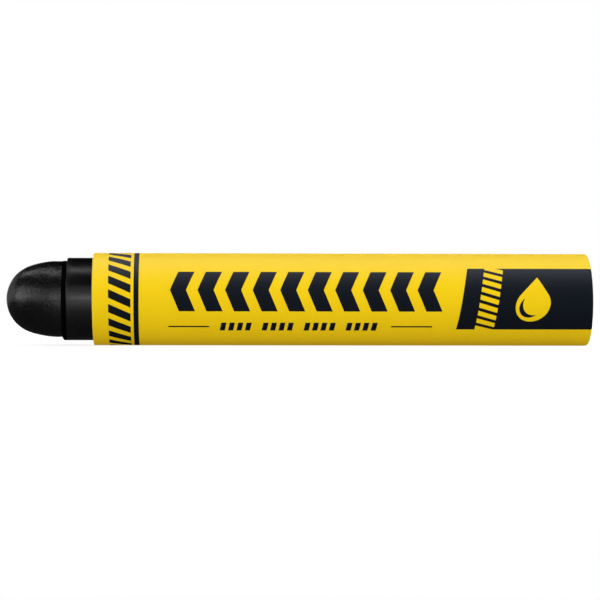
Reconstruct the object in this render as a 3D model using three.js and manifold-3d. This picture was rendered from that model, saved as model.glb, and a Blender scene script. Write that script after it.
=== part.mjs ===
// A solid paint marker: a cast stick of paint with a bullet nose, in a wound paper tube that it slides through
// as it wears down. Millimetres, +Z up. The marker lies on its side with its nose towards -X, and the origin is
// under the middle of its length, on the surface it lies on.
import * as THREE from 'three';
import { mergeVertices } from 'three/addons/utils/BufferGeometryUtils.js';
import Module from 'manifold-3d';

// Paint stick
const paintRadius = 8.54;
const noseRadius = 7.81;
const noseLength = 10.7;
const noseFlankArc = 17.4;
const noseShank = 1.1;
const grooveWidth = 0.87;
const grooveDepth = 0.15;
const collarLength = 5.35;
const collarEdgeRadius = 0.15;

// Wound tube, from the bore outwards
const tubeLength = 102.63;
const slideClearance = 0.05;
const linerWall = 0.08;
const plyWall = 0.34;
const labelWall = 0.14;
const glueGap = 0.02;
const stripWidth = 38;
const buttGap = 0.3;
const tubeEdgeRadius = 0.45;
const labelLap = 2.8;

// Rear end
const discRecess = 1.5;
const discThickness = 1.5;
const discClearance = 0.08;
const discEdge = 0.2;
const discSeatGap = 0.05;

// How finely round shapes are cut. The count is a multiple of 4, so a flat side faces down.
const facets = 64;
const tipArcSteps = 8;
const flankArcSteps = 5;
const smallArcSteps = 3;

// Radii that follow from the pieces inside
const linerBore = paintRadius + slideClearance;
const innerPlyBore = linerBore + linerWall + glueGap;
const outerPlyBore = innerPlyBore + plyWall + glueGap;
const labelBore = outerPlyBore + plyWall + glueGap;
const tubeRadius = labelBore + labelWall;
const lapRise = labelWall + glueGap;

// The nose's tip arc runs smoothly into its flank arc, and the flank arc into the shank
const noseTipArc =
  (noseFlankArc ** 2 - (noseFlankArc - noseRadius) ** 2 - noseLength ** 2) / (2 * (noseFlankArc - noseLength));

// Stations along the axis, from the tip of the nose towards the rear
const grooveFront = noseLength + noseShank;
const collarFront = grooveFront + grooveWidth;
const tubeFront = collarFront + collarLength;
const tubeRear = tubeFront + tubeLength;
const discRear = tubeRear - discRecess;
const discFront = discRear - discThickness;
const paintRear = discFront - discSeatGap;

const wasm = await Module();
wasm.setup();

// Corner radius of a polygon whose flat sides lie at the radius asked for
const cornerOf = (radius) => radius / Math.cos(Math.PI / facets);

// Corner number index of the polygon. The half step turns a flat side to face down.
const cornerAngle = (index) => ((index + 0.5) * 2 * Math.PI) / facets;

// Points [station, radius] on an arc, from one angle to another, in radians
function arc(station, radius, size, from, to, steps) {
  return Array.from({ length: steps + 1 }, (_, i) => {
    const angle = from + ((to - from) * i) / steps;
    return [station + size * Math.cos(angle), radius + size * Math.sin(angle)];
  });
}

// A solid turned about the Y axis from an outline of [station, radius] points
function turned(outline) {
  const points = outline.map(([station, radius]) => new THREE.Vector2(cornerOf(radius), station));
  return new THREE.LatheGeometry(points, facets, cornerAngle(0));
}

function solidOf(geometry) {
  const bare = geometry.clone();
  bare.deleteAttribute('normal');
  bare.deleteAttribute('uv');
  const merged = mergeVertices(bare);
  return new wasm.Manifold(
    new wasm.Mesh({
      numProp: 3,
      vertProperties: new Float32Array(merged.attributes.position.array),
      triVerts: new Uint32Array(merged.index.array),
    }),
  );
}

function geometryOf(solid) {
  const { vertProperties, triVerts } = solid.getMesh();
  const geometry = new THREE.BufferGeometry();
  geometry.setAttribute('position', new THREE.BufferAttribute(vertProperties, 3));
  geometry.setIndex(new THREE.BufferAttribute(triVerts, 1));
  const flat = geometry.toNonIndexed();
  flat.computeVertexNormals();
  return flat;
}

// Paint stick: bullet nose of two arcs, a groove behind it, and the collar and body at one diameter
function paintStick() {
  const flankCentre = noseRadius - noseFlankArc;
  const meeting = Math.atan2(-flankCentre, noseTipArc - noseLength);
  const tip = arc(noseTipArc, 0, noseTipArc, Math.PI, meeting, tipArcSteps);
  tip[0] = [0, 0];
  const flank = arc(noseLength, flankCentre, noseFlankArc, meeting, Math.PI / 2, flankArcSteps).slice(1);
  const shoulder = arc(
    collarFront + collarEdgeRadius,
    paintRadius - collarEdgeRadius,
    collarEdgeRadius,
    Math.PI,
    Math.PI / 2,
    smallArcSteps,
  );
  return turned([
    ...tip,
    ...flank,
    [grooveFront, noseRadius],
    [grooveFront, noseRadius - grooveDepth],
    [collarFront, noseRadius - grooveDepth],
    ...shoulder,
    [tubeFront, paintRadius],
    [paintRear, paintRadius],
    [paintRear, 0],
  ]);
}

// Paperboard disc behind the paint, which a thumb or a dowel pushes
function baseDisc() {
  const radius = linerBore - discClearance;
  return turned([
    [discFront, 0],
    [discFront, radius],
    [discRear - discEdge, radius],
    [discRear, radius - discEdge],
    [discRear, 0],
  ]);
}

// The outer limit of the trimmed tube: its two end planes, with the rim rolled over at the outer edge
function trimmedEnvelope() {
  const slope = 2 * lapRise;
  const rim = arc(
    tubeFront + tubeEdgeRadius,
    tubeRadius - tubeEdgeRadius,
    tubeEdgeRadius,
    Math.PI,
    Math.PI / 2,
    smallArcSteps,
  );
  const front = [...rim, [tubeFront + tubeEdgeRadius + slope, tubeRadius + slope]];
  const rear = front.map(([station, radius]) => [tubeFront + tubeRear - station, radius]).reverse();
  return solidOf(turned([[tubeFront, 0], ...front, ...rear, [tubeRear, 0]]));
}

// One strip of paper wound into a tube, its edges meeting in a helical butt joint, then trimmed to length.
// The joint starts at a share of the pitch past the front end.
function woundStrip(bore, wall, startShare, envelope) {
  const girth = 2 * Math.PI * (bore + wall);
  const pitch = (stripWidth * girth) / Math.sqrt(girth ** 2 - stripWidth ** 2);
  const climb = pitch / facets;
  const first = tubeFront - (2 - startShare) * pitch;
  const steps = Math.ceil((tubeRear - first) / climb);
  const positions = [];
  for (let i = 0; i <= steps; i++) {
    const angle = cornerAngle(i);
    const front = first + i * climb;
    const rear = front + pitch - buttGap;
    for (const [station, radius] of [[front, bore], [front, bore + wall], [rear, bore + wall], [rear, bore]]) {
      const corner = cornerOf(radius);
      positions.push(corner * Math.sin(angle), station, corner * Math.cos(angle));
    }
  }
  const faces = [];
  const quad = (a, b, c, d) => faces.push(a, b, c, a, c, d);
  for (let i = 0; i < steps; i++) {
    for (let side = 0; side < 4; side++) {
      const next = (side + 1) % 4;
      quad(4 * i + side, 4 * i + 4 + side, 4 * i + 4 + next, 4 * i + next);
    }
  }
  quad(0, 1, 2, 3);
  quad(4 * steps + 3, 4 * steps + 2, 4 * steps + 1, 4 * steps);
  const geometry = new THREE.BufferGeometry();
  geometry.setAttribute('position', new THREE.Float32BufferAttribute(positions, 3));
  geometry.setIndex(faces);
  return geometryOf(solidOf(geometry).intersect(envelope));
}

// Printed label: one sheet wrapped once round the tube, its last stretch lapped over its first. The lap runs
// along the upper side at the back.
function labelWrap(envelope) {
  const lapFacets = Math.max(1, Math.round((labelLap / (2 * Math.PI * tubeRadius)) * facets));
  const startFacet = (facets * 5) / 8 - Math.ceil(lapFacets / 2);
  const at = (radius, index) => {
    const angle = cornerAngle(startFacet + index);
    const lifted = index >= facets ? radius + lapRise : radius;
    return new THREE.Vector2(cornerOf(lifted) * Math.cos(angle), cornerOf(lifted) * Math.sin(angle));
  };
  const corners = Array.from({ length: facets + lapFacets + 1 }, (_, index) => index);
  const outside = corners.map((index) => at(tubeRadius, index));
  const inside = corners.map((index) => at(labelBore, index)).reverse();
  const sheet = new THREE.ExtrudeGeometry(new THREE.Shape([...outside, ...inside]), {
    depth: tubeLength,
    bevelEnabled: false,
  });
  sheet.rotateX(-Math.PI / 2);
  sheet.translate(0, tubeFront, 0);
  return geometryOf(solidOf(sheet).intersect(envelope));
}

const paper = (color, roughness) => new THREE.MeshStandardMaterial({ color, roughness, metalness: 0 });

function named(name, geometry, material) {
  const mesh = new THREE.Mesh(geometry, material);
  mesh.name = name;
  return mesh;
}

const kraft = paper(0xb28a5c, 0.9);
const envelope = trimmedEnvelope();

// Everything is turned about Y, so the group lays Y down along +X
const marker = new THREE.Group();
marker.add(
  named('paint_stick', paintStick(), new THREE.MeshStandardMaterial({ color: 0x1b1b1d, roughness: 0.5 })),
  named('base_disc', baseDisc(), paper(0x8d8474, 0.9)),
  named('liner', woundStrip(linerBore, linerWall, 0.1, envelope), paper(0xd8cdb2, 0.45)),
  named('inner_ply', woundStrip(innerPlyBore, plyWall, 0.45, envelope), kraft),
  named('outer_ply', woundStrip(outerPlyBore, plyWall, 0.8, envelope), kraft),
  named('label', labelWrap(envelope), paper(0xf6cd1c, 0.4)),
);
marker.rotation.z = -Math.PI / 2;
marker.position.set(-tubeRear / 2, 0, tubeRadius);

const model = new THREE.Group();
model.add(marker);

export default model;
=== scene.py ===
"""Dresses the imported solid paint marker: fine meshes over its solids, their finishes, the camera and light.

The marker lies along X with its nose towards -X. A place on it is given by its station, in millimetres from
the tip of the nose, its distance from the marker's axis, and its angle upwards from the side that faces the
camera.
"""
import itertools
import math

import bmesh
import bpy
from mathutils import Euler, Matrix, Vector, noise


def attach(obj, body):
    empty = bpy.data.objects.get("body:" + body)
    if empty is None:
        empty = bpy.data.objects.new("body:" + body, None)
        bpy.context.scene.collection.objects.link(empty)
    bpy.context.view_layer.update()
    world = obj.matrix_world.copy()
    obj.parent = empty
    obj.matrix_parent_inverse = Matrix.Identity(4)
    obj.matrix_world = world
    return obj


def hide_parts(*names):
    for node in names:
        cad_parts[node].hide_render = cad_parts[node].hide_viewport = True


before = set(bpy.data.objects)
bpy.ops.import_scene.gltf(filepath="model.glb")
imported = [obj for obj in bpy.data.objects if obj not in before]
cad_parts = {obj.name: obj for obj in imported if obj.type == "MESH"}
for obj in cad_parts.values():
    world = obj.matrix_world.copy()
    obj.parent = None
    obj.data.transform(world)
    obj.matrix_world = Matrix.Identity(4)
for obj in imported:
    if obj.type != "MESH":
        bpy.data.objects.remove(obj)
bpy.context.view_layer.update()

MM = 0.001

# Stick of paint, in millimetres
LENGTH = 120.65
NOSE_RADIUS = 7.81
NOSE_LENGTH = 10.7
NOSE_FLANK_ARC = 17.4
GROOVE_FRONT = 11.80
BAND_FRONT = 11.66
BAND_RISE = 0.06
BAND_EDGE = 0.02
COLLAR_FRONT = 12.67
COLLAR_EDGE = 0.15
PAINT_RADIUS = 8.54
PAINT_REAR = 117.60

# Unevenness of the cast paint, in millimetres. Each lump is as wide and as high as its pair says
CAST_LUMPS = ((3.6, 0.04), (1.3, 0.02), (0.45, 0.006))
LUMP_FADE = 1.5
RIDGE_HEIGHT = 0.012
RIDGE_LENGTH = 14
RIDGE_WIDTH = 1.1
LIP_RAG = 0.05
LIP_RAG_WIDTH = 0.9
LIP_RAG_REACH = 0.5
LIP_NOISE_SLICE = 3.7
NOSE_FULLNESS = 0.04
TIP_POINT = 0.5
FULL_TIP = 1.2
FULL_TIP_FADE = 2.0

# Run of paint across the groove, in millimetres, and its depths below the axis as shares of the radius
FLASH_FRONT = 11.48
FLASH_LENGTH = 0.56
FLASH_ZONE = (11.2, 13.17)
FLASH_LEAN = 0.1
FLASH_DEPTH = 0.72
FLASH_DEPTH_FADE = 0.2

# Wound tube, in millimetres
TUBE_FRONT = 18.02
TUBE_REAR = 120.65
TUBE_RADIUS = 9.55
LINER_BORE = 8.59
LINER_WALL = 0.08
LINER_RECESS = 0.03
INNER_PLY_BORE = 8.69
OUTER_PLY_BORE = 9.05
PLY_WALL = 0.34
PLY_RECESS = 0.06
LABEL_BORE = 9.41
LABEL_WALL = 0.14
STRIP_WIDTH = 38
BUTT_GAP = 0.3
SOLID_FACETS = 64

# Rolled and skewed ends of the tube, in millimetres, and depths below the axis as shares of the radius
RIM_ROLL = 0.5
LOWER_ROLL = 0.2
LOWER_ROLL_DEPTH = 0.3
LOWER_ROLL_FADE = 0.6
FRONT_SKEW = 0.1
REAR_SKEW = 0.12
SKEW_REACH = 12.0

# How far the trimmed ends waver, and at most rearwards, in millimetres, and how often round and along
WAVER = 0.03
WAVER_LIMIT = 0.01
WAVERS_ROUND = 2
WAVERS_ALONG = 9

# The label's lap, upwards from the front in degrees: where the sheet starts, and where its free end lies
LAP_START = 143.4
LAP_RAMP = 5.6
LAP_END = 126.6
LAP_RISE = 0.16

# The label's swelling over the plies, in millimetres, and how often it comes round the tube
SWELL = 0.012
SWELL_LENGTH = 9
SWELLS_ROUND = 3

# Disc behind the paint, in millimetres. Its fibres stand out as the paint's lumps do
DISC_FRONT = 117.65
DISC_FRONT_GAP = 0.05
DISC_REAR = 119.15
DISC_RADIUS = 8.51
DISC_EDGE = 0.2
DISC_FIBRES = ((1.2, 0.03), (0.35, 0.015))
DISC_SIDE_SHARE = 0.2
DISH_DEPTH = 0.12
DISH_REACH = 3

# Steps of the fine meshes: how many round the marker or over a rim, and how long in millimetres
PAINT_COLUMNS = 288
NOSE_STEP = 0.2
ROD_STEP = 2.0
DISC_COLUMNS = 144
LABEL_COLUMNS = 240
LAP_RAMP_COLUMNS = 8
LAP_COLUMNS = 12
LABEL_STEP = 2.0
ROLL_STEPS = 8

# How deep behind the tube's ends a ply's rows lie, and the shortest stretch of its strip, in millimetres
RIM_DEPTHS = (0.14, 0.17, 0.22, 0.29, 0.38, 0.5, 0.8)
SLIVER = 0.05

# How near two points of a mesh are joined, in millimetres, and the sharpest bend shaded smooth, in degrees
WELD = 0.002
CREASE = 40

# Camera, found from the photograph's perspective
LENS = 145.82
CAMERA_PLACE = (-0.01822, -0.505, 0.00942)
CAMERA_YAW = 2.118
CAMERA_ROLL = 0.10

# Lamps that light surfaces: name, middle, aim, width and height in metres, and brightness, 1 being white
FILLS = (
    ("top_fill", (0, -0.01, 0.55), (0, 0, 0), 1.5, 0.17, 0.95),
    ("front_fill", (0, -0.75, 0.17), (0, 0, 0.1), 1.7, 0.34, 1.66),
    ("left_fill", (-0.62, -0.3, 0.42), (0, 0, 0), 0.5, 0.5, 3.22),
    ("right_fill", (0.62, -0.3, 0.42), (0, 0, 0), 0.5, 0.5, 3.22),
    ("back_fill", (0, 0.75, 0.22), (0, 0, 0), 1.7, 0.34, 3.2),
)

# Lamps that show only in gloss: the same, and how far each is turned about its aim, in degrees
GLINTS = (
    ("top_glint", (0.13, -0.23, 0.55), (0.13, -0.23, 0), 0.52, 0.07, 1.58, -45),
    ("top_left_glint", (-0.306, 0.169, 0.55), (-0.306, 0.169, 0), 0.7, 0.155, 1.68, -45),
    ("low_glint", (0.085, -0.8, 0.085), (0.085, 0, 0.085), 0.57, 0.17, 1.25, 0),
    ("high_glint", (-0.15, -0.8, 0.345), (-0.15, 0, 0.345), 1.05, 0.35, 0.5, 0),
    ("left_glint", (-0.78, -0.34, 0.265), (-0.055, 0, 0.265), 0.82, 0.47, 1.6, 0),
)
LABEL_SHEEN = ("label_sheen", (0, 0.08, 0.55), (0, 0, 0), 1.4, 0.25, 19.5, 0)

# The floor's shades, and its distances in metres or, where the glow rises, in millimetres
FLOOR_BOUNCE = 0.3
FLOOR_BOUNCE_GLOW = 0.277
FLOOR_SHADE = 0.45
FLOOR_NEAR_GLOW = 0.72
FLOOR_GLOW_RISE = 350
FLOOR_GLOW_FADE = 400
FLOOR_REACH = 4.0
FLOOR_LEVEL = -0.00005

# The cards' shades, their sizes in metres, and in millimetres where their shades change
LOWER_CARD_HALF = (0.4, 0.3)
LOWER_CARD_LEVEL = -0.00003
LOWER_CARD_SHADE = 0.03
LOWER_CARD_REACH = 43
LOWER_CARD_NOSE = -70
LOWER_CARD_NOSE_FADE = 40
LOWER_CARD_NOSE_WIDER = 7
LEFT_CARD_ENDS = ((-0.68, -0.03), (-0.13, 0.6))
LEFT_CARD_HEIGHT = 0.24
LEFT_CARD_BRIGHT = 0.65
LEFT_CARD_DIM = 0.25
LEFT_CARD_CHANGE = -430
LEFT_CARD_FADE = 120

# The white wall all round, as the share of straight up that it reaches
WALL_TOP = 0.2
WALL_FADE = 0.16


def place(station, radius, angle):
    """The point of the scene at a station, a distance from the axis and an angle in radians."""
    along = station - LENGTH / 2
    return Vector((along, -radius * math.cos(angle), TUBE_RADIUS + radius * math.sin(angle))) * MM


def spread(low, high, count):
    """Count + 1 evenly spaced numbers from low to high."""
    return [low + (high - low) * step / count for step in range(count + 1)]


def rising(value, start, reach):
    """0 up to a start, 1 from a reach past it on, and a smooth rise between."""
    share = min(max((value - start) / reach, 0.0), 1.0)
    return share * share * (3 - 2 * share)


def uneven(spot, lumps):
    """How far a surface stands out at a spot, by lumps of several widths and heights."""
    return sum(height * noise.noise(spot / width) for width, height in lumps)


def running_length(points):
    """How far along a line of points each lies."""
    lengths = [0.0]
    for before, after in zip(points, points[1:]):
        lengths.append(lengths[-1] + (after - before).length)
    return lengths


def running_share(lines):
    """How far along the longest of some lines each of its points lies, as a share of that length."""
    longest = max((running_length(line) for line in lines), key=lambda lengths: lengths[-1])
    return [length / longest[-1] for length in longest]


class Skin:
    """A mesh put together from sheets. Each sheet is a grid of points with its own patch of the bake map."""

    def __init__(self, name):
        self.name = name
        self.points = []
        self.faces = []
        self.finishes = []
        self.bake = []
        self.printed = []

    def sheet(self, rows, patch, finish=0, printed=None):
        """Adds rows of points. The patch is low u, low v, high u and high v, and printed gives the points'
        places on the print."""
        start, width = len(self.points), len(rows[0])
        down = running_share([[row[width // 2] for row in rows]])
        across = running_share([rows[0], rows[len(rows) // 2], rows[-1]])
        low_u, low_v, high_u, high_v = patch
        for i, row in enumerate(rows):
            self.points += row
            for j in range(width):
                u = low_u + (high_u - low_u) * across[j]
                v = low_v + (high_v - low_v) * down[i]
                self.bake.append((u, v))
                self.printed.append(printed[i][j] if printed else (0.0, 0.0))
        for i in range(len(rows) - 1):
            for j in range(width - 1):
                corner = start + i * width + j
                self.faces.append((corner, corner + 1, corner + width + 1, corner + width))
                self.finishes.append(finish)

    def cut_edges(self, inside, outside, patch, patch_pitch, finish=0):
        """Closes the four sides between an inner and an outer sheet. The patch is the first side's, and each
        other side's lies a pitch above the one before."""
        sides = (
            [[row[0] for row in inside], [row[0] for row in outside]],
            [[row[-1] for row in inside], [row[-1] for row in outside]],
            [inside[0], outside[0]],
            [inside[-1], outside[-1]],
        )
        low_u, low_v, high_u, high_v = patch
        for number, side in enumerate(sides):
            up = patch_pitch * number
            self.sheet(side, (low_u, low_v + up, high_u, high_v + up), finish)

    def piece(self, body, node, finishes):
        """Joins the sheets where they meet and makes the object that stands for a CAD node."""
        mesh = bpy.data.meshes.new(self.name)
        mesh.from_pydata(self.points, [], self.faces)
        for name, places in (("OFBake", self.bake), ("print", self.printed)):
            layer = mesh.uv_layers.new(name=name)
            for loop in mesh.loops:
                layer.uv[loop.index].vector = places[loop.vertex_index]
        mesh.polygons.foreach_set("material_index", self.finishes)
        joined = bmesh.new()
        joined.from_mesh(mesh)
        bmesh.ops.remove_doubles(joined, verts=joined.verts, dist=WELD * MM)
        bmesh.ops.recalc_face_normals(joined, faces=joined.faces)
        joined.to_mesh(mesh)
        joined.free()
        mesh.shade_smooth()
        mesh.set_sharp_from_angle(angle=math.radians(CREASE))
        for finish in finishes:
            mesh.materials.append(finish)
        thing = bpy.data.objects.new(self.name, mesh)
        bpy.context.scene.collection.objects.link(thing)
        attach(thing, body)
        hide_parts(node)
        return thing


NOISE_MIDDLE = 0.5


class Signal:
    """A value that changes over a surface. Python's operators on it add Math nodes."""

    def __init__(self, finish, socket):
        self.finish = finish
        self.socket = socket

    def math(self, operation, *others, clamp=False):
        values = dict(enumerate((self, *others)))
        return self.finish.add("ShaderNodeMath", {"operation": operation, "use_clamp": clamp}, values)

    def __add__(self, other):
        return self.math("ADD", other)

    __radd__ = __add__

    def __sub__(self, other):
        return self.math("SUBTRACT", other)

    def __rsub__(self, other):
        return self.finish.add("ShaderNodeMath", {"operation": "SUBTRACT"}, {0: other, 1: self})

    def __mul__(self, other):
        return self.math("MULTIPLY", other)

    __rmul__ = __mul__

    def __truediv__(self, other):
        return self.math("DIVIDE", other)

    def __mod__(self, other):
        return self.math("FLOORED_MODULO", other)

    def __abs__(self):
        return self.math("ABSOLUTE")

    def __or__(self, other):
        """Either of two masks."""
        return self.math("MAXIMUM", other)

    def over(self, limit, blur):
        """A mask of where the value is over a limit, with an edge as wide as blur."""
        return self.math("MULTIPLY_ADD", 1 / blur, 0.5 - limit / blur, clamp=True)

    def under(self, limit, blur):
        """A mask of where the value is under a limit."""
        return self.math("MULTIPLY_ADD", -1 / blur, 0.5 + limit / blur, clamp=True)

    def between(self, low, high, blur):
        """A mask of where the value lies between two limits."""
        return self.over(low, blur) * self.under(high, blur)

    def swing(self, amount):
        """How far the value, a noise, lies above or below its middle, times an amount."""
        return (self - NOISE_MIDDLE) * amount


def far_off(first, second):
    """How far a place is from a middle, given how far it is from it in two directions."""
    return (first.math("POWER", 2.0) + second.math("POWER", 2.0)).math("SQRT")


class Finish:
    """The nodes of a material or of the world, made one at a time."""

    def __init__(self, owner):
        self.owner = owner
        owner.use_nodes = True
        self.tree = owner.node_tree
        self.tree.nodes.clear()

    def add(self, kind, settings=None, inputs=None, output=0):
        """One node of a kind, with its settings, then the values or signals of its sockets."""
        node = self.tree.nodes.new(kind)
        for name, value in (settings or {}).items():
            setattr(node, name, value)
        for name, value in (inputs or {}).items():
            if isinstance(value, Signal):
                self.tree.links.new(value.socket, node.inputs[name])
            else:
                node.inputs[name].default_value = value
        return Signal(self, node.outputs[output]) if len(node.outputs) else None

    def place(self):
        """Places on the object in millimetres."""
        here = self.add("ShaderNodeTexCoord", output="Object")
        return self.stretched(here, (1 / MM, 1 / MM, 1 / MM))

    def stretched(self, vector, by):
        """A vector times its own factor in each direction."""
        return self.add("ShaderNodeVectorMath", {"operation": "MULTIPLY"}, {0: vector, 1: by})

    def parts(self, vector):
        """The x, y and z of a vector."""
        whole = self.add("ShaderNodeSeparateXYZ", inputs={0: vector})
        return [Signal(self, socket) for socket in whole.socket.node.outputs]

    def grain(self, vector, size, detail=3.0, roughness=0.55):
        """Noise between 0 and 1 whose lumps are about as wide as size, in the vector's unit."""
        return self.add(
            "ShaderNodeTexNoise",
            inputs={"Vector": vector, "Scale": 1 / size, "Detail": detail, "Roughness": roughness},
        )

    def blend(self, share, first, second):
        """The first colour where share is 0 and the second where it is 1."""
        # The Mix node's own numbers for its factor and for its two colours, and for the colour that it gives
        colours = {0: share, 6: first, 7: second}
        return self.add("ShaderNodeMix", {"data_type": "RGBA"}, colours, output=2)

    def bump(self, height):
        """The normal of a surface whose height is given in millimetres."""
        return self.add("ShaderNodeBump", inputs={"Strength": 1.0, "Distance": MM, "Height": height})

    def surface(self, **sockets):
        """The shader and the output. A socket's name has underscores for its spaces."""
        inputs = {name.replace("_", " "): value for name, value in sockets.items()}
        shader = self.add("ShaderNodeBsdfPrincipled", inputs=inputs)
        self.add("ShaderNodeOutputMaterial", inputs={"Surface": shader})
        return self.owner

    def glowing(self, shade):
        """A plain glow and the output."""
        glow = self.add("ShaderNodeEmission", inputs={"Color": shade})
        self.add("ShaderNodeOutputMaterial", inputs={"Surface": glow})
        return self.owner


def colour(red, green, blue):
    return (red, green, blue, 1.0)


def grey(level):
    return colour(level, level, level)


# Finishes

def wax_paint():
    """Black wax and oil paint: a grainy cast nose, and a body that is drawn smooth along its length."""
    finish = Finish(bpy.data.materials.new("black_wax_paint"))
    nose_end = GROOVE_FRONT + 0.4
    lip_span = (COLLAR_FRONT - 0.3, COLLAR_FRONT + 0.9)
    rings_span = (8.6, 12.4)
    edge, soft_edge = 0.5, 1.6
    here = finish.place()
    along = finish.parts(here)[0] + LENGTH / 2
    nose = along.under(nose_end, edge)
    lip = along.between(*lip_span, edge)
    patches = finish.grain(here, 2.6, detail=2.0)
    lumps = finish.grain(here, 0.55, roughness=0.6)
    grit = finish.grain(here, 0.2, detail=2.0)
    drawn = finish.grain(finish.stretched(here, (0.1, 1.0, 1.0)), 0.5)
    pits = finish.grain(here, 0.8, detail=1.0).under(0.3, 0.12) * nose
    rings = finish.grain(finish.stretched(here, (1.0, 0.06, 0.06)), 0.45, detail=2.0)
    rings = rings * along.between(*rings_span, soft_edge)
    shade = finish.grain(here, 1.5).between(0.35, 0.65, 0.4)
    base = finish.blend(shade, colour(0.0022, 0.0022, 0.0024), colour(0.0042, 0.0041, 0.0041))
    nose_rough = nose * (lumps.swing(0.36) + 0.02)
    rough = 0.25 + patches.swing(0.14) + nose_rough + drawn.swing(0.12) + 0.1 * lip
    nose_height = nose * (0.034 * lumps + 0.006 * grit + 0.11 * patches)
    height = nose_height + 0.012 * drawn - 0.03 * pits + 0.02 * rings
    return finish.surface(
        Base_Color=base, Roughness=rough, Specular_IOR_Level=0.5, Normal=finish.bump(height)
    )


def groove_painted_shade():
    """The same paint in the band behind the nose: made dull, and darkened nearly to black with painted shade.
    """
    finish = Finish(bpy.data.materials.new("painted_shade_groove_paint"))
    lumps = finish.grain(finish.place(), 0.4)
    # Painted shade: a near-black colour and a weak gloss keep the band dark, standing for the groove's shadow
    base = finish.blend(lumps, colour(0.0005, 0.0005, 0.0006), colour(0.0012, 0.0012, 0.0013))
    return finish.surface(
        Base_Color=base, Roughness=0.95, Specular_IOR_Level=0.03, Normal=finish.bump(0.03 * lumps)
    )


# The print, on a map of stations and of distances upwards round the tube, both in millimetres

INK_EDGE = 0.035


def inked(value, low, high):
    """A mask of where a value lies between two limits, as crisp as the ink's edge."""
    return value.between(low, high, INK_EDGE)


def striped_ring(x, t):
    """A ring of slanted stripes by the tube's front end, and the plain bar beside it."""
    ring = (21.35, 25.9)
    bar = (26.5, 27.55)
    stripe = (0.25, 2.0)
    stripe_count = 20
    slant = 0.45
    slant_front = 21.4
    pitch = 2 * math.pi * TUBE_RADIUS / stripe_count
    stripes = inked((t + slant * (x - slant_front)) % pitch, *stripe)
    return stripes * inked(x, *ring) | inked(x, *bar)


def arrow_row(x, t):
    """A row of bold arrows that point to the nose."""
    front = 33.9
    pitch = 5.62
    stroke = 3.3
    middle = 1.9
    slant = 0.42
    foot, top = -2.5, 6.0
    row = (-0.1, 9.8 * pitch)
    run = x - slant * abs(t - middle) - front
    arrows = inked(run % pitch, 0.0, stroke) * inked(run, *row)
    return arrows * inked(t, foot, top)


def ruled_line(x, t):
    """Two fine rules with four groups of small slanted marks between them."""
    front_rule = (33.6, 41.95)
    rear_rule = (79.2, 87.6)
    rule_heights = (-6.14, -5.79)
    mark_heights = (-7.0, -5.0)
    marks_front = 45.3
    marks_span = (-0.2, 32.6)
    slant = 0.18
    mark, mark_pitch = 1.06, 1.72
    group, group_pitch = 6.7, 8.6
    rules = inked(x, *front_rule) | inked(x, *rear_rule)
    rules = rules * inked(t, *rule_heights)
    run = x - slant * t - marks_front
    grouped = inked(run % mark_pitch, 0.0, mark) * (run % group_pitch).under(group, INK_EDGE)
    return rules | grouped * inked(run, *marks_span) * inked(t, *mark_heights)


def round_spot(x, t, middle_x, middle_t, radius):
    return far_off(x - middle_x, t - middle_t).under(radius, INK_EDGE)


def drop(x, t):
    """A drop of paint with a gleam in it, leaning as the panel's front edge does."""
    slant = 0.16
    middle_x, middle_t, radius = 108.4, -1.1, 3.55
    tip = 4.75
    gleam_spot = (107.9, -1.5, 2.25)
    gleam_cut = (108.8, -0.75, 2.5)
    x = x - slant * t
    half_angle = math.asin(radius / (tip - middle_t))
    side = abs(x - middle_x) * math.cos(half_angle) - (tip - t) * math.sin(half_angle)
    shoulder = middle_t + radius * math.sin(half_angle)
    point = side.under(0.0, INK_EDGE) * t.over(shoulder, INK_EDGE)
    body = point | round_spot(x, t, middle_x, middle_t, radius)
    gleam = round_spot(x, t, *gleam_spot) * (1 - round_spot(x, t, *gleam_cut))
    return body * (1 - gleam)


def rear_panel(x, t):
    """The dark panel at the rear end, with a ladder of yellow marks and the drop left out of it."""
    front = 93.7
    foot, top = -6.64, 6.97
    slant = 0.17
    ladder_span = (97.35, 101.25)
    ladder_slant = 0.15
    mark, mark_pitch = 1.02, 1.72
    mark_slant = 0.3
    panel = inked(t, foot, top) * (x - slant * t).over(front, INK_EDGE)
    marks = inked((t + mark_slant * x) % mark_pitch, 0.0, mark)
    ladder = marks * inked(x - ladder_slant * t, *ladder_span)
    return panel * (1 - (ladder | drop(x, t)))


def back_dashes(x, t):
    """Rows of short dashes on the side away from the camera."""
    first_row = 26.4
    row_count = 4
    row_pitch = 1.9
    line = (0.6, 1.1)
    rows_span = (34.0, 76.0)
    dash, dash_pitch = 3.7, 4.6
    dash_shift = 1.7
    t = t % (2 * math.pi * TUBE_RADIUS) - first_row
    row = (t / row_pitch).math("FLOOR")
    lines = inked(t % row_pitch, *line) * inked(t, 0.0, row_count * row_pitch)
    dashes = inked((x + dash_shift * row) % dash_pitch, 0.0, dash) * inked(x, *rows_span)
    return lines * dashes


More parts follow.
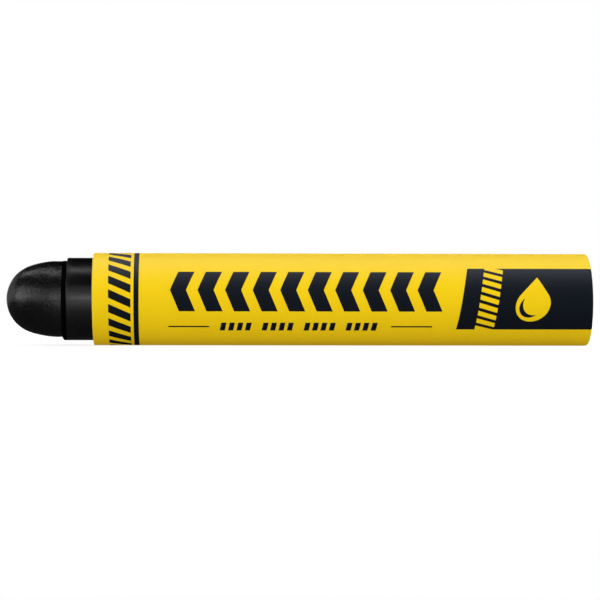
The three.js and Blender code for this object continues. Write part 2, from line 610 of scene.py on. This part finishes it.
def printed_label():
    """Satin yellow paper, printed in a blue-black ink and rubbed pale at the tube's ends."""
    finish = Finish(bpy.data.materials.new("satin_printed_paper"))
    x, t, _ = finish.parts(finish.add("ShaderNodeUVMap", {"uv_map": "print"}))
    ink = striped_ring(x, t) | arrow_row(x, t) | ruled_line(x, t) | rear_panel(x, t) | back_dashes(x, t)
    here = finish.place()
    fibres = finish.grain(finish.stretched(here, (0.35, 1.0, 1.0)), 0.22, roughness=0.6)
    cloud = finish.grain(here, 7.0, detail=2.0)
    swelling = finish.grain(here, 3.0, detail=2.0)
    yellow = finish.blend(cloud, colour(0.91, 0.61, 0.0035), colour(0.95, 0.65, 0.0045))
    black = finish.blend(fibres, colour(0.0028, 0.0048, 0.0098), colour(0.0055, 0.0077, 0.0132))
    paper = colour(0.86, 0.78, 0.5)
    rubbed, rubbed_edge, rubbed_share, worn_share = 0.12, 0.2, 0.12, 0.7
    ends = x.under(TUBE_FRONT + rubbed, rubbed_edge) | x.over(TUBE_REAR - rubbed, rubbed_edge)
    worn = ends * finish.grain(here, 0.5).over(0.66, 0.08)
    yellow = finish.blend(ends * rubbed_share, yellow, paper)
    printed = finish.blend(ink, yellow, black)
    base = finish.blend(worn * worn_share, printed, paper)
    # A joint of the plies shows through as a faint dent
    joint_pitch, joint_width = 50.1, 0.8
    wound = (x + t * (joint_pitch / (2 * math.pi * TUBE_RADIUS))) % joint_pitch
    joint = abs(wound - joint_pitch / 2).under(joint_width / 2, joint_width)
    height = 0.004 * fibres + 0.012 * swelling - 0.006 * joint + 0.002 * ink
    rough = 0.66 + fibres.swing(0.08) + 0.03 * ink + 0.15 * worn
    return finish.surface(
        Base_Color=base, Roughness=rough, Specular_IOR_Level=0.07, Normal=finish.bump(height)
    )


def bare_paper():
    """The label paper's own white, on its cut edges and its glued side."""
    finish = Finish(bpy.data.materials.new("bare_label_paper"))
    fibres = finish.grain(finish.place(), 0.15)
    base = finish.blend(fibres, colour(0.72, 0.66, 0.5), colour(0.84, 0.8, 0.68))
    return finish.surface(
        Base_Color=base, Roughness=0.85, Specular_IOR_Level=0.25, Normal=finish.bump(0.02 * fibres)
    )


def kraft_board():
    """Brown kraft paper with long fibres and a few dark flecks."""
    finish = Finish(bpy.data.materials.new("kraft_board"))
    here = finish.place()
    fibres = finish.grain(finish.stretched(here, (0.3, 1.0, 1.0)), 0.3, detail=4.0, roughness=0.65)
    flecks = finish.grain(here, 0.35, detail=1.0).over(0.72, 0.06)
    brown = finish.blend(fibres, colour(0.36, 0.23, 0.11), colour(0.56, 0.4, 0.22))
    base = finish.blend(flecks, brown, colour(0.16, 0.09, 0.045))
    return finish.surface(
        Base_Color=base, Roughness=0.85, Specular_IOR_Level=0.25, Normal=finish.bump(0.05 * fibres)
    )


def greaseproof_paper():
    """Smooth pale liner paper, smeared with paint where the stick slides in it."""
    finish = Finish(bpy.data.materials.new("greaseproof_paper"))
    here = finish.place()
    fibres = finish.grain(finish.stretched(here, (0.5, 1.0, 1.0)), 0.3)
    smears = finish.grain(finish.stretched(here, (0.05, 1.0, 1.0)), 0.9, detail=4.0, roughness=0.6)
    smears = smears.over(0.56, 0.14)
    thick = finish.grain(here, 1.4).over(0.42, 0.3)
    pale = finish.blend(fibres, colour(0.5, 0.43, 0.29), colour(0.66, 0.59, 0.43))
    base = finish.blend(smears * thick * 0.85, pale, colour(0.02, 0.02, 0.021))
    rough = 0.45 + 0.1 * fibres
    return finish.surface(
        Base_Color=base, Roughness=rough, Specular_IOR_Level=0.3, Normal=finish.bump(0.01 * fibres)
    )


def chipboard():
    """Grey-brown chipboard with pale and dark fibres, and paint that has crept round its rim."""
    finish = Finish(bpy.data.materials.new("grey_chipboard"))
    here = finish.place()
    _, across, up = finish.parts(here)
    away = far_off(across, up - TUBE_RADIUS)
    fibres = finish.grain(finish.stretched(here, (1.0, 1.0, 0.35)), 0.35, detail=4.0, roughness=0.65)
    flecks = finish.grain(here, 0.4, detail=2.0).over(0.66, 0.06)
    patch = finish.grain(here, 1.6, detail=4.0, roughness=0.6)
    creep, creep_edge, raggedness = 0.9, 0.8, 3.0
    paint = (away + patch.swing(raggedness)).over(DISC_RADIUS - creep, creep_edge)
    grey_brown = finish.blend(fibres, colour(0.25, 0.21, 0.16), colour(0.42, 0.37, 0.29))
    base = finish.blend(flecks * 0.8, grey_brown, colour(0.14, 0.11, 0.08))
    base = finish.blend(paint, base, colour(0.012, 0.012, 0.013))
    rough = 0.9 - 0.35 * paint
    return finish.surface(
        Base_Color=base, Roughness=rough, Specular_IOR_Level=0.25, Normal=finish.bump(0.06 * fibres)
    )


# Pieces

def cast_outline():
    """The stick's outline as (station, radius, lean), its lean being the way its surface faces, in radians
    from the rearward direction. Also the numbers of the points where the band with painted shade and the
    collar start."""
    flank_middle = NOSE_RADIUS - NOSE_FLANK_ARC
    reach = NOSE_FLANK_ARC**2 - flank_middle**2 - NOSE_LENGTH**2
    tip_arc = reach / (2 * (NOSE_FLANK_ARC - NOSE_LENGTH))
    meeting = math.atan2(-flank_middle, tip_arc - NOSE_LENGTH)
    square = math.pi / 2
    outline = []
    steps = round((math.pi - meeting) * tip_arc / NOSE_STEP)
    for turn in spread(math.pi, meeting, steps):
        outline.append((tip_arc + tip_arc * math.cos(turn), tip_arc * math.sin(turn), turn))
    steps = round((meeting - square) * NOSE_FLANK_ARC / NOSE_STEP)
    for turn in spread(meeting, square, steps)[1:]:
        radius = flank_middle + NOSE_FLANK_ARC * math.sin(turn)
        outline.append((NOSE_LENGTH + NOSE_FLANK_ARC * math.cos(turn), radius, turn))
    nose_end = spread(NOSE_LENGTH, BAND_FRONT, count=6)[1:]
    outline += [(station, NOSE_RADIUS, square) for station in nose_end]
    band = len(outline) - 1
    band_radius = NOSE_RADIUS + BAND_RISE
    band_flat = BAND_FRONT + BAND_EDGE
    outline += [(band_flat, radius, square) for radius in spread(NOSE_RADIUS, band_radius, count=2)[1:]]
    outline += [(station, band_radius, square) for station in spread(band_flat, COLLAR_FRONT, count=6)[1:]]
    lip_radius = PAINT_RADIUS - COLLAR_EDGE
    lip_station = COLLAR_FRONT + COLLAR_EDGE
    outline += [(COLLAR_FRONT, radius, math.pi) for radius in spread(band_radius, lip_radius, count=5)[1:]]
    collar = len(outline) - 1
    for turn in spread(math.pi, square, count=5)[1:]:
        station = lip_station + COLLAR_EDGE * math.cos(turn)
        outline.append((station, lip_radius + COLLAR_EDGE * math.sin(turn), turn))
    stations = spread(lip_station, TUBE_FRONT, count=20)[1:]
    stations += spread(TUBE_FRONT, PAINT_REAR, round((PAINT_REAR - TUBE_FRONT) / ROD_STEP))[1:]
    outline += [(station, PAINT_RADIUS, square) for station in stations]
    return outline, band, collar


def cast_place(station, radius, lean, angle):
    """A point of the stick's surface, with its unevenness."""
    spot = place(station, radius, angle) / MM
    off_nose = rising(station, GROOVE_FRONT, LUMP_FADE)
    lump = uneven(spot, CAST_LUMPS) * rising(radius, 0, LUMP_FADE)
    ridges = Vector((spot.x / RIDGE_LENGTH, spot.y / RIDGE_WIDTH, spot.z / RIDGE_WIDTH))
    lift = (1 - off_nose) * lump + off_nose * RIDGE_HEIGHT * noise.noise(ridges)
    near_lip = 1 - rising(abs(station - COLLAR_FRONT), 0, LIP_RAG_REACH)
    rag = Vector((spot.y / LIP_RAG_WIDTH, spot.z / LIP_RAG_WIDTH, LIP_NOISE_SLICE))
    station += lift * math.cos(lean) + near_lip * LIP_RAG * noise.noise(rag)
    near_tip = 1 - rising(station, FULL_TIP, FULL_TIP_FADE)
    fuller = NOSE_FULLNESS * (1 - off_nose) * rising(station, 0, TIP_POINT) * (1 + near_tip)
    radius += (lift + fuller) * math.sin(lean)
    if FLASH_ZONE[0] < station < FLASH_ZONE[1]:
        station, radius = flash_place(station, radius, angle)
    return place(station, max(radius, 0.0), angle)


def flash_place(station, radius, angle):
    """A point near the groove, raised at the bottom of the mould by the run of paint that crosses it."""
    under = rising(-math.sin(angle), FLASH_DEPTH, FLASH_DEPTH_FADE)
    risen = min(max((station - FLASH_FRONT) / FLASH_LENGTH, 0.0), 1.0)
    step = PAINT_RADIUS - NOSE_RADIUS
    # The rows up the collar's front stay apart where the run of paint lies over them
    station -= FLASH_LEAN * under * risen * (PAINT_RADIUS - radius) / step
    radius += under * (NOSE_RADIUS + risen * step - radius)
    return station, radius


def paint_cast():
    """The stick of paint: nose, a dull band darkened with painted shade, collar and body in one casting."""
    outline, band, collar = cast_outline()
    angles = spread(0, 2 * math.pi, PAINT_COLUMNS)
    rows = [[cast_place(*point, angle) for angle in angles[:-1]] for point in outline]
    rows = [row + row[:1] for row in rows]
    middle = [place(PAINT_REAR, 0, 0)] * len(angles)
    skin = Skin("paint_cast")
    skin.sheet(rows[: band + 1], (0.01, 0.01, 0.99, 0.4))
    # The band behind the nose takes the second finish, whose near-black colour is painted shade
    skin.sheet(rows[band : collar + 1], (0.01, 0.41, 0.99, 0.45), finish=1)
    skin.sheet(rows[collar:], (0.01, 0.46, 0.99, 0.94))
    skin.sheet([rows[-1], middle], (0.01, 0.95, 0.99, 0.99))
    return skin.piece("paint", "paint_stick", [wax_paint(), groove_painted_shade()])


def push_disc():
    """The chipboard disc: a flat front, a softened rear edge and a slightly dished, fibrous rear face."""
    angles = spread(0, 2 * math.pi, DISC_COLUMNS)
    front_station = DISC_FRONT + DISC_FRONT_GAP
    edge_station = DISC_REAR - DISC_EDGE
    flat = DISC_RADIUS - DISC_EDGE

    def row(station, radius):
        points = []
        for angle in angles[:-1]:
            rough = uneven(place(station, radius, angle) / MM, DISC_FIBRES)
            sideways = DISC_SIDE_SHARE * rough if radius > 0 else 0
            points.append(place(station + rough, radius + sideways, angle))
        return points + points[:1]

    front = [row(front_station, radius) for radius in spread(0, DISC_RADIUS, count=10)]
    front[0] = [place(front_station, 0, 0)] * len(angles)
    side = [row(station, DISC_RADIUS) for station in spread(front_station, edge_station, count=4)]
    for turn in spread(0, math.pi / 2, count=4)[1:]:
        side.append(row(edge_station + DISC_EDGE * math.sin(turn), flat + DISC_EDGE * math.cos(turn)))
    rear = []
    for radius in spread(flat, 0, count=24):
        rear.append(row(DISC_REAR - DISH_DEPTH * rising(flat - radius, 0, DISH_REACH), radius))
    rear[-1] = [place(DISC_REAR - DISH_DEPTH, 0, 0)] * len(angles)
    skin = Skin("push_disc")
    skin.sheet(front, (0.01, 0.01, 0.99, 0.25))
    skin.sheet(side, (0.01, 0.27, 0.99, 0.45))
    skin.sheet(rear, (0.01, 0.47, 0.99, 0.99))
    return skin.piece("paint", "base_disc", [chipboard()])


def trimmed(station, angle):
    """A station of the tube after its ends were trimmed: both are a little out of square, and waver."""
    front = 1 - rising(station, TUBE_FRONT, SKEW_REACH)
    rear = rising(station, TUBE_REAR - SKEW_REACH, SKEW_REACH)
    around = (WAVERS_ROUND * math.cos(angle), WAVERS_ROUND * math.sin(angle))
    waver = WAVER * noise.noise(Vector((*around, WAVERS_ALONG * station / LENGTH)))
    skew = (FRONT_SKEW * front + REAR_SKEW * rear) * math.sin(angle)
    return station - skew + min(waver, WAVER_LIMIT) * (front + rear)


def rolled_bore(depth):
    """Inner radius of the label at a depth from the tube's end, where the trimming rolled it over."""
    inner = RIM_ROLL - LABEL_WALL
    away = min(max(RIM_ROLL - depth, 0.0), inner)
    return TUBE_RADIUS - RIM_ROLL + math.sqrt(inner**2 - away**2)


def pressed(radius, station):
    """A ply's radius after the rolled rim pressed the plies together."""
    depth = min(station - TUBE_FRONT, TUBE_REAR - station)
    room = (rolled_bore(depth) - LINER_BORE) / (LABEL_BORE - LINER_BORE)
    return LINER_BORE + (radius - LINER_BORE) * room


def wound_ply(name, node, finish, bore, wall, start_share, turn_steps, station_step, recess):
    """One strip of paper wound into a tube, its edges meeting in a helical butt joint. The joint starts at a
    share of the pitch past the tube's front end, and the ply's ends lie a recess back from the tube's."""
    girth = 2 * math.pi * (bore + wall)
    pitch = STRIP_WIDTH * girth / math.sqrt(girth**2 - STRIP_WIDTH**2)
    # The solid's strip has its corners half a facet further round
    first = TUBE_FRONT - (2 - start_share) * pitch - pitch / (2 * SOLID_FACETS)
    depths = [recess, *RIM_DEPTHS]
    middle_steps = round((TUBE_REAR - TUBE_FRONT) / station_step)
    stations = [TUBE_FRONT + depth for depth in depths]
    stations += spread(TUBE_FRONT + depths[-1], TUBE_REAR - depths[-1], middle_steps)[1:-1]
    stations += [TUBE_REAR - depth for depth in reversed(depths)]
    low, high = stations[0], stations[-1]
    outside, inside = [], []
    for turn in itertools.count():
        wound = 2 * math.pi * turn / turn_steps
        front = first + pitch * wound / (2 * math.pi)
        rear = front + pitch - BUTT_GAP
        if rear < low + SLIVER:
            continue
        if front > high - SLIVER:
            break
        angle = math.pi / 2 - wound
        held = [min(max(station, front, low), rear, high) for station in stations]
        outside.append([place(trimmed(s, angle), pressed(bore + wall, s), angle) for s in held])
        inside.append([place(trimmed(s, angle), pressed(bore, s), angle) for s in held])
    skin = Skin(name)
    skin.sheet(inside, (0.01, 0.01, 0.99, 0.48))
    skin.sheet(outside, (0.01, 0.5, 0.99, 0.9))
    skin.cut_edges(inside, outside, (0.01, 0.915, 0.99, 0.925), patch_pitch=0.02)
    return skin.piece("tube", node, [finish])


def bore_liner():
    """The thin strip of greaseproof paper that lines the bore."""
    wound_ply(
        "bore_liner", "liner", greaseproof_paper(), LINER_BORE, LINER_WALL,
        start_share=0.1, turn_steps=128, station_step=3.0, recess=LINER_RECESS,
    )


def kraft_plies():
    """The inner and the outer ply, wound from the same kraft paper."""
    kraft = kraft_board()
    plies = (
        ("inner_tube_ply", "inner_ply", INNER_PLY_BORE, 0.45),
        ("outer_tube_ply", "outer_ply", OUTER_PLY_BORE, 0.8),
    )
    for name, node, bore, start_share in plies:
        wound_ply(
            name, node, kraft, bore, PLY_WALL,
            start_share=start_share, turn_steps=96, station_step=6.0, recess=PLY_RECESS,
        )


def rim(roll, lift, thickness):
    """Depths from the tube's end, radii, and places along the print, over a rim rolled to a radius."""
    arc = roll + lift
    points = []
    for turn in spread(math.asin(roll / arc), 0, ROLL_STEPS):
        depth = roll - (arc - thickness) * math.sin(turn)
        radius = TUBE_RADIUS - roll + (arc - thickness) * math.cos(turn)
        points.append((depth, radius, roll - roll * turn))
    return points


def label_path(angle, lift, thickness):
    """Stations and radii along the label from its front edge to its rear edge, on its outer side or, by its
    thickness, on its inner side. Also how far along the print each point lies."""
    lower = rising(-math.sin(angle), LOWER_ROLL_DEPTH, LOWER_ROLL_FADE)
    front_rim = rim(RIM_ROLL + (LOWER_ROLL - RIM_ROLL) * lower, lift, thickness)
    rear_rim = reversed(rim(RIM_ROLL, lift, thickness))
    front = [(TUBE_FRONT + depth, radius, TUBE_FRONT + along) for depth, radius, along in front_rim]
    rear = [(TUBE_REAR - depth, radius, TUBE_REAR - along) for depth, radius, along in rear_rim]
    flat = TUBE_RADIUS + lift - thickness
    count = round((TUBE_REAR - TUBE_FRONT - 2 * RIM_ROLL) / LABEL_STEP)
    middle = [(s, flat, s) for s in spread(TUBE_FRONT + RIM_ROLL, TUBE_REAR - RIM_ROLL, count)[1:-1]]
    return front + middle + rear


def label_lift(wound):
    """How far the sheet stands off the tube after it has wound through so many degrees."""
    return LAP_RISE * rising(wound, 360 - LAP_RAMP, LAP_RAMP)


def label_turns():
    """How far round the sheet has wound at each of its columns, in degrees."""
    turns = spread(0, 360 - LAP_RAMP, LABEL_COLUMNS)
    turns += spread(360 - LAP_RAMP, 360, LAP_RAMP_COLUMNS)[1:]
    return turns + spread(360, 360 + LAP_START - LAP_END, LAP_COLUMNS)[1:]


def printed_wrap():
    """The label: one sheet round the tube, its last stretch lapped over its first."""
    outside, inside, printed = [], [], []
    for wound in label_turns():
        angle = math.radians(LAP_START - wound)
        lift = label_lift(wound)
        around = (SWELLS_ROUND * math.cos(angle), SWELLS_ROUND * math.sin(angle))
        outer, inner, marks = [], [], []
        faces = zip(label_path(angle, lift, 0), label_path(angle, lift, LABEL_WALL))
        for (station, radius, along), (under_station, under_radius, _) in faces:
            swell = SWELL * noise.noise(Vector((station / SWELL_LENGTH, *around)))
            outer.append(place(trimmed(station, angle), radius + swell, angle))
            inner.append(place(trimmed(under_station, angle), under_radius + swell, angle))
            marks.append((along, TUBE_RADIUS * angle))
        outside.append(outer)
        inside.append(inner)
        printed.append(marks)
    skin = Skin("printed_wrap")
    skin.sheet(outside, (0.005, 0.12, 0.995, 0.995), printed=printed)
    skin.sheet(inside, (0.005, 0.005, 0.995, 0.08), finish=1)
    skin.cut_edges(inside, outside, (0.005, 0.084, 0.995, 0.089), patch_pitch=0.009, finish=1)
    return skin.piece("tube", "label", [printed_label(), bare_paper()])


# Studio

def camera():
    """The photograph's view of the marker."""
    data = bpy.data.cameras.new("camera")
    data.lens = LENS
    thing = bpy.data.objects.new("camera", data)
    thing.location = CAMERA_PLACE
    turn = Euler((math.radians(90), 0, math.radians(-CAMERA_YAW))).to_matrix()
    roll = Euler((0, 0, math.radians(CAMERA_ROLL))).to_matrix()
    thing.rotation_euler = (turn @ roll).to_euler()
    bpy.context.scene.collection.objects.link(thing)
    bpy.context.scene.camera = thing


def softbox(name, middle, aim, width, height, brightness, turn=0):
    """A soft rectangular lamp whose face is as bright as asked for, unseen by the camera."""
    data = bpy.data.lights.new(name, "AREA")
    data.shape = "RECTANGLE"
    data.size = width
    data.size_y = height
    data.energy = brightness * math.pi * width * height
    thing = bpy.data.objects.new(name, data)
    thing.location = middle
    facing = (Vector(aim) - Vector(middle)).to_track_quat("-Z", "Y").to_matrix()
    thing.rotation_euler = (facing @ Euler((0, 0, math.radians(turn))).to_matrix()).to_euler()
    thing.visible_camera = False
    bpy.context.scene.collection.objects.link(thing)
    return thing


def fill(*lamp):
    """A lamp that lights surfaces and doesn't show in their gloss."""
    softbox(*lamp).visible_glossy = False


def glint(*lamp):
    """A lamp that shows only in the gloss of surfaces."""
    thing = softbox(*lamp)
    thing.visible_diffuse = False
    return thing


def label_sheen(label):
    """The wide lamp overhead that gives the label its sheen, and is linked to the label alone."""
    receivers = bpy.data.collections.new("label_only")
    receivers.objects.link(label)
    glint(*LABEL_SHEEN).light_linking.receiver_collection = receivers


def flat_stage(name, corners, material):
    """One flat face of the studio, which isn't part of the marker."""
    mesh = bpy.data.meshes.new(name)
    mesh.from_pydata(corners, [], [(0, 1, 2, 3)])
    mesh.materials.append(material)
    thing = bpy.data.objects.new(name, mesh)
    bpy.context.scene.collection.objects.link(thing)
    return thing


def card(name, corners, material):
    """A glowing card that shows only in reflections."""
    thing = flat_stage(name, corners, material)
    thing.visible_camera = False
    thing.visible_diffuse = False
    thing.visible_shadow = False


def level_corners(half_length, half_width, level):
    """The corners of a level rectangle round the scene's middle."""
    signs = ((-1, -1), (1, -1), (1, 1), (-1, 1))
    return [(along * half_length, across * half_width, level) for along, across in signs]


def studio_floor():
    """A pale floor. It shows white with a soft shadow, and gives back a plain grey's light to the marker."""
    finish = Finish(bpy.data.materials.new("pale_floor"))

    def lit(shade, glow):
        """A diffuse shade that also glows."""
        diffuse = finish.add("ShaderNodeBsdfDiffuse", inputs={"Color": shade})
        emission = finish.add("ShaderNodeEmission", inputs={"Color": glow})
        return finish.add("ShaderNodeAddShader", inputs={0: diffuse, 1: emission})

    path = finish.add("ShaderNodeLightPath").socket.node.outputs
    rays = ("Is Camera Ray", "Is Glossy Ray", "Is Transmission Ray")
    by_camera, by_gloss, through_glass = [Signal(finish, path[ray]) for ray in rays]
    away = finish.add("ShaderNodeVectorMath", {"operation": "LENGTH"}, {0: finish.place()}, output="Value")
    glow = finish.blend(away.over(FLOOR_GLOW_RISE, FLOOR_GLOW_FADE), grey(FLOOR_NEAR_GLOW), grey(1.0))
    plain = lit(grey(FLOOR_BOUNCE), grey(FLOOR_BOUNCE_GLOW))
    white = lit(grey(FLOOR_SHADE), glow)
    seen = by_camera | by_gloss | through_glass
    both = finish.add("ShaderNodeMixShader", inputs={0: seen, 1: plain, 2: white})
    finish.add("ShaderNodeOutputMaterial", inputs={"Surface": both})
    flat_stage("studio_floor", level_corners(FLOOR_REACH, FLOOR_REACH, FLOOR_LEVEL), finish.owner)


def lower_card():
    """A card under the marker, dark along it and paler outwards, so that the marker's lower side stays deep.
    The dark part is wider beyond the nose."""
    finish = Finish(bpy.data.materials.new("lower_card"))
    x, y, _ = finish.parts(finish.place())
    # Painted shadow seen only in reflections: the card is darkest along the marker, where the floor lies in
    # its shade
    wider = 1 + LOWER_CARD_NOSE_WIDER * x.under(LOWER_CARD_NOSE, LOWER_CARD_NOSE_FADE)
    away = abs(y) / (LOWER_CARD_REACH * wider)
    shade = finish.blend((LOWER_CARD_SHADE + away * away).math("MINIMUM", 1.0), grey(0.0), grey(1.0))
    card("lower_card", level_corners(*LOWER_CARD_HALF, LOWER_CARD_LEVEL), finish.glowing(shade))


def left_card():
    """An upright card that runs from the nose's left to behind the marker. It is dimmer behind, so that the
    nose's edge isn't pale."""
    finish = Finish(bpy.data.materials.new("left_card"))
    x, _, _ = finish.parts(finish.place())
    near_left = x.under(LEFT_CARD_CHANGE, LEFT_CARD_FADE)
    shade = finish.blend(near_left, grey(LEFT_CARD_DIM), grey(LEFT_CARD_BRIGHT))
    left, back = LEFT_CARD_ENDS
    corners = [(*left, 0), (*back, 0), (*back, LEFT_CARD_HEIGHT), (*left, LEFT_CARD_HEIGHT)]
    card("left_card", corners, finish.glowing(shade))


def studio_wall():
    """The world: a white wall all round, up to a low height, and darkness above and below it."""
    world = bpy.data.worlds.new("studio_wall")
    bpy.context.scene.world = world
    finish = Finish(world)
    up = finish.parts(finish.add("ShaderNodeTexCoord", output="Generated"))[2]
    wall = 1 - abs(up).over(WALL_TOP, WALL_FADE)
    shade = finish.blend(wall, grey(0.0), grey(1.0))
    glow = finish.add("ShaderNodeBackground", inputs={"Color": shade, "Strength": 1.0})
    finish.add("ShaderNodeOutputWorld", inputs={"Surface": glow})


def studio():
    """The camera, the floor, the cards, the wall and the lamps."""
    bpy.context.scene.view_settings.view_transform = "Standard"
    camera()
    studio_floor()
    lower_card()
    left_card()
    studio_wall()
    for lamp in FILLS:
        fill(*lamp)
    for lamp in GLINTS:
        glint(*lamp)


studio()
paint_cast()
push_disc()
bore_liner()
kraft_plies()
label_sheen(printed_wrap())
